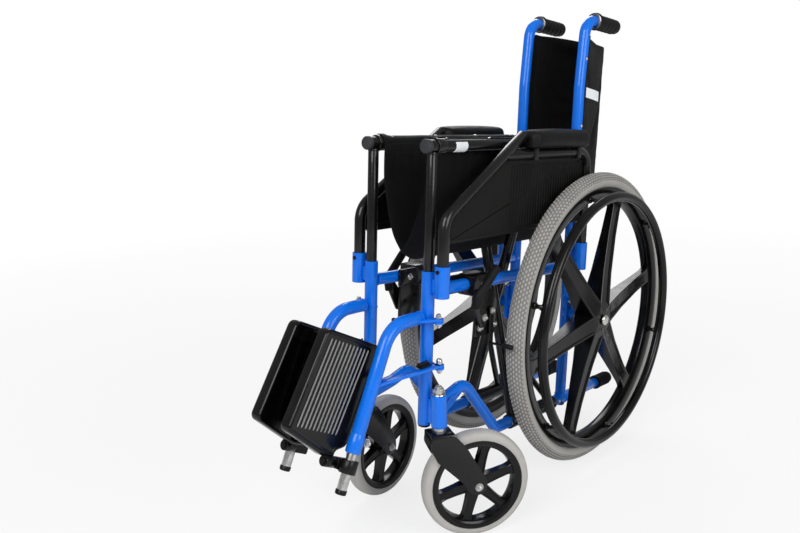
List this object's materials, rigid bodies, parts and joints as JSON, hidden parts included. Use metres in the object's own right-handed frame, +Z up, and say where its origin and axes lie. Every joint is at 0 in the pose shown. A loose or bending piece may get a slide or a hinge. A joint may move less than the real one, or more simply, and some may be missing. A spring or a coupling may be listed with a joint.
{
  "type": "folding wheelchair",
  "caption": "Manual wheelchair with a cross brace, stored nearly folded, with moulded rear wheels, swivelling casters, swing-away leg rests and lift-off armrests.",
  "frame": {"origin": "centre of the bounding box on the floor, in the stored folded pose", "axes": "+Z up, the occupant faces -Y, +X is the occupant's left"},
  "size_m": [0.3732, 1.0763, 0.9272],
  "materials": {
    "blue_paint": "gloss",
    "black_paint": "gloss",
    "black_plastic": "satin",
    "black_rubber": "matt",
    "grey_tyre": "matt",
    "chrome": "bright",
    "black_fabric": "woven"
  },
  "bodies": {
    "left_frame": {"left_side_frame": "blue_paint", "left_tipping_boot": "black_rubber", "left_push_grip": "black_rubber", "left_brake_bracket": "black_paint", "left_axle_bolt": "chrome"},
    "right_frame": {"right_side_frame": "blue_paint", "right_tipping_boot": "black_rubber", "right_push_grip": "black_rubber", "right_brake_bracket": "black_paint", "right_axle_bolt": "chrome"},
    "brace_a": {"brace_a": "black_paint", "brace_bolt": "chrome", "right_seat_rail": "black_paint", "right_rail_cap": "black_plastic"},
    "brace_b": {"brace_b": "black_paint", "left_seat_rail": "black_paint", "left_rail_cap": "black_plastic"},
    "left_seat_post": {"left_seat_post": "black_paint"},
    "right_seat_post": {"right_seat_post": "black_paint"},
    "right_seat_cloth": {"right_seat_sling": "black_fabric"},
    "left_seat_cloth": {"left_seat_sling": "black_fabric"},
    "left_back_cloth": {"left_back_sling": "black_fabric"},
    "right_back_cloth": {"right_back_sling": "black_fabric"},
    "left_wheel": {"left_wheel_tyre": "grey_tyre", "left_wheel_mag": "black_plastic", "left_handrim": "black_paint"},
    "left_caster": {"left_caster_fork": "black_paint", "left_stem_nut": "chrome", "left_caster_axle_bolt": "chrome"},
    "left_caster_wheel": {"left_caster_rim": "black_plastic", "left_caster_tyre": "grey_tyre"},
    "left_hanger": {"left_hanger": "blue_paint"},
    "left_extension": {"left_extension": "chrome", "left_footplate_hub": "black_plastic"},
    "left_footplate": {"left_footplate": "black_plastic"},
    "left_armrest": {"left_armrest_tube": "black_paint", "left_arm_pad": "black_rubber", "left_skirt_guard": "black_plastic"},
    "left_arm_button": {"left_arm_button": "black_plastic"},
    "left_brake_lever": {"left_brake_lever": "black_paint"},
    "left_brake_shoe": {"left_brake_shoe": "black_paint"},
    "right_wheel": {"right_wheel_tyre": "grey_tyre", "right_wheel_mag": "black_plastic", "right_handrim": "black_paint"},
    "right_caster": {"right_caster_fork": "black_paint", "right_stem_nut": "chrome", "right_caster_axle_bolt": "chrome"},
    "right_caster_wheel": {"right_caster_rim": "black_plastic", "right_caster_tyre": "grey_tyre"},
    "right_hanger": {"right_hanger": "blue_paint"},
    "right_extension": {"right_extension": "chrome", "right_footplate_hub": "black_plastic"},
    "right_footplate": {"right_footplate": "black_plastic"},
    "right_armrest": {"right_armrest_tube": "black_paint", "right_arm_pad": "black_rubber", "right_skirt_guard": "black_plastic"},
    "right_arm_button": {"right_arm_button": "black_plastic"},
    "right_brake_lever": {"right_brake_lever": "black_paint"},
    "right_brake_shoe": {"right_brake_shoe": "black_paint"}
  },
  "joints": [
    {"name": "fold", "type": "hinge", "parent": "left_frame", "child": "brace_a", "pos_m": [0.0578, 0.03292, 0.12529], "axis": [0, -0.9976, 0.0698], "range_deg": [0, 37.66]},
    {"name": "brace_cross", "type": "hinge", "parent": "brace_a", "child": "brace_b", "pos_m": [-0.0087, 0.06724, 0.40107], "axis": [0, -0.9976, 0.0698], "range_deg": [-75.33, 0]},
    {"name": "right_frame_turn", "type": "hinge", "parent": "brace_b", "child": "right_frame", "pos_m": [-0.0752, 0.06484, 0.12306], "axis": [0, -0.9976, 0.0698], "range_deg": [0, 37.67]},
    {"name": "right_post_turn", "type": "hinge", "parent": "brace_a", "child": "right_seat_post", "pos_m": [-0.0752, -0.1977, 0.69777], "axis": [0, -0.9976, 0.0698], "range_deg": [-37.67, 0]},
    {"name": "left_post_turn", "type": "hinge", "parent": "brace_b", "child": "left_seat_post", "pos_m": [0.0578, -0.1977, 0.69777], "axis": [0, -0.9976, 0.0698], "range_deg": [0, 37.67]},
    {"name": "seat_right_hem", "type": "hinge", "parent": "brace_a", "child": "right_seat_cloth", "pos_m": [-0.0627, -0.01316, 0.68487], "axis": [0, -0.9976, 0.0698], "range_deg": [0, 29.56], "deforming": ["right_seat_sling"]},
    {"name": "seat_middle", "type": "hinge", "parent": "right_seat_cloth", "child": "left_seat_cloth", "pos_m": [-0.0087, -0.02764, 0.47778], "axis": [0, -0.9976, 0.0698], "range_deg": [-134.43, 0], "deforming": ["left_seat_sling"]},
    {"name": "back_left_cane", "type": "hinge", "parent": "left_frame", "child": "left_back_cloth", "pos_m": [0.0578, 0.25026, 0.53112], "axis": [0, 0.0943, 0.9955], "range_deg": [0, 64.57], "deforming": ["left_back_sling"]},
    {"name": "back_middle", "type": "hinge", "parent": "left_back_cloth", "child": "right_back_cloth", "pos_m": [-0.0087, 0.46416, 0.51616], "axis": [0, 0.0943, 0.9955], "range_deg": [-129.12, 0], "deforming": ["right_back_sling"]},
    {"name": "left_wheel_spin", "type": "hinge", "parent": "left_frame", "child": "left_wheel", "pos_m": [0.1207, 0.234, 0.305], "axis": [1, 0, 0], "continuous": true},
    {"name": "left_caster_swivel", "type": "hinge", "parent": "left_frame", "child": "left_caster", "pos_m": [0.0878, -0.2415, 0.216], "axis": [0, 0, 1], "continuous": true},
    {"name": "left_caster_spin", "type": "hinge", "parent": "left_caster", "child": "left_caster_wheel", "pos_m": [0.12424, -0.18648, 0.1], "axis": [0.8337, -0.5522, 0], "continuous": true},
    {"name": "left_hanger_swing", "type": "hinge", "parent": "left_frame", "child": "left_hanger", "pos_m": [0.0848, -0.2355, 0.3255], "axis": [0, 0, 1], "range_deg": [0, 90]},
    {"name": "left_extension_slide", "type": "slide", "parent": "left_hanger", "child": "left_extension", "axis": [0, -0.4644, -0.8856], "range_m": [-0.008, 0.04]},
    {"name": "left_footplate_flip", "type": "hinge", "parent": "left_extension", "child": "left_footplate", "pos_m": [0.0378, -0.45218, 0.21486], "axis": [0, -0.8856, 0.4644], "range_deg": [0, 67.42]},
    {"name": "left_armrest_lift", "type": "slide", "parent": "left_frame", "child": "left_armrest", "axis": [0, 0.0698, 0.9976], "range_m": [0, 0.08]},
    {"name": "left_arm_button_press", "type": "slide", "parent": "left_frame", "child": "left_arm_button", "axis": [0, 0.9976, -0.0698], "range_m": [0, 0.003], "stiffness_N_per_m": 400},
    {"name": "left_brake_pull", "type": "hinge", "parent": "left_frame", "child": "left_brake_lever", "pos_m": [0.0918, -0.11438, 0.3842], "axis": [1, 0, 0], "range_deg": [0, 55]},
    {"name": "left_brake_press", "type": "hinge", "parent": "left_frame", "child": "left_brake_shoe", "pos_m": [0.0873, -0.08389, 0.39008], "axis": [1, 0, 0], "range_deg": [0, 8.1]},
    {"name": "right_wheel_spin", "type": "hinge", "parent": "right_frame", "child": "right_wheel", "pos_m": [-0.1381, 0.234, 0.305], "axis": [1, 0, 0], "continuous": true},
    {"name": "right_caster_swivel", "type": "hinge", "parent": "right_frame", "child": "right_caster", "pos_m": [-0.1052, -0.2415, 0.216], "axis": [0, 0, 1], "continuous": true},
    {"name": "right_caster_spin", "type": "hinge", "parent": "right_caster", "child": "right_caster_wheel", "pos_m": [-0.10916, -0.17562, 0.1], "axis": [0.9982, 0.06, 0], "continuous": true},
    {"name": "right_hanger_swing", "type": "hinge", "parent": "right_frame", "child": "right_hanger", "pos_m": [-0.1022, -0.2355, 0.3255], "axis": [0, 0, -1], "range_deg": [0, 90]},
    {"name": "right_extension_slide", "type": "slide", "parent": "right_hanger", "child": "right_extension", "axis": [0, -0.4644, -0.8856], "range_m": [-0.008, 0.04]},
    {"name": "right_footplate_flip", "type": "hinge", "parent": "right_extension", "child": "right_footplate", "pos_m": [-0.0552, -0.45218, 0.21486], "axis": [0, 0.8856, -0.4644], "range_deg": [0, 67.42]},
    {"name": "right_armrest_lift", "type": "slide", "parent": "right_frame", "child": "right_armrest", "axis": [0, 0.0698, 0.9976], "range_m": [0, 0.08]},
    {"name": "right_arm_button_press", "type": "slide", "parent": "right_frame", "child": "right_arm_button", "axis": [0, 0.9976, -0.0698], "range_m": [0, 0.003], "stiffness_N_per_m": 400},
    {"name": "right_brake_pull", "type": "hinge", "parent": "right_frame", "child": "right_brake_lever", "pos_m": [-0.1092, -0.11438, 0.3842], "axis": [1, 0, 0], "range_deg": [0, 55]},
    {"name": "right_brake_press", "type": "hinge", "parent": "right_frame", "child": "right_brake_shoe", "pos_m": [-0.1047, -0.08389, 0.39008], "axis": [1, 0, 0], "range_deg": [0, 8.1]}
  ],
  "couplings": [
    {"joint": "brace_cross", "follows": "fold", "ratio": -2},
    {"joint": "right_frame_turn", "follows": "fold", "ratio": 1},
    {"joint": "right_post_turn", "follows": "fold", "ratio": -1},
    {"joint": "left_post_turn", "follows": "fold", "ratio": 1},
    {"joint": "seat_right_hem", "follows": "fold", "ratio": 0.7846},
    {"joint": "seat_middle", "follows": "fold", "ratio": -3.5692},
    {"joint": "back_left_cane", "follows": "fold", "ratio": 1.7142},
    {"joint": "back_middle", "follows": "fold", "ratio": -3.4283},
    {"joint": "left_footplate_flip", "follows": "fold", "ratio": 1.79},
    {"joint": "left_brake_press", "follows": "left_brake_pull", "ratio": 0.14636},
    {"joint": "right_footplate_flip", "follows": "fold", "ratio": 1.79},
    {"joint": "right_brake_press", "follows": "right_brake_pull", "ratio": 0.14636}
  ]
}
